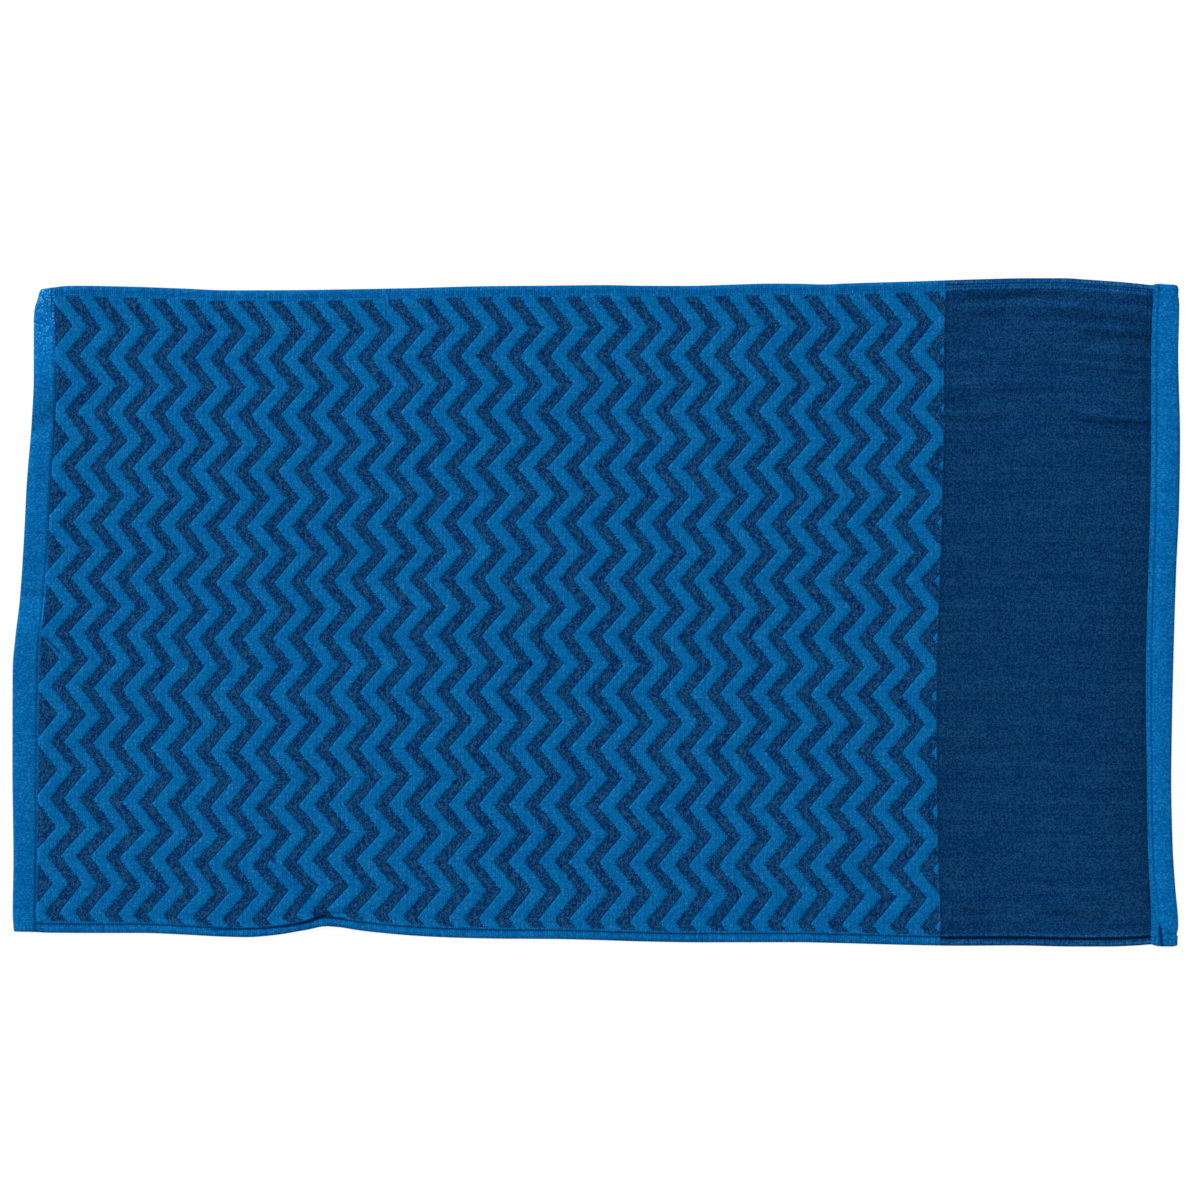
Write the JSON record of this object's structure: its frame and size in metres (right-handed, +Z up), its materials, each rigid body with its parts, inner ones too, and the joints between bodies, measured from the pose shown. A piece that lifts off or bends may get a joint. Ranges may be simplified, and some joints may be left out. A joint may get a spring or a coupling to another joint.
{
  "type": "sports towel",
  "caption": "Flat woven towel with a chevron field, a plain dark band near one end, and turned hems on all four edges.",
  "frame": {"origin": "on the surface that the towel lies on, below the middle of its outline", "axes": "+X along the towel towards its plain band, +Y across it, +Z up out of its patterned face"},
  "size_m": [0.898, 0.514, 0.0058],
  "materials": {
    "towel_cloth": "woven cotton, matt, chevron in bright and dark blue"
  },
  "bodies": {
    "root": {"towel": "towel_cloth"}
  },
  "joints": []
}
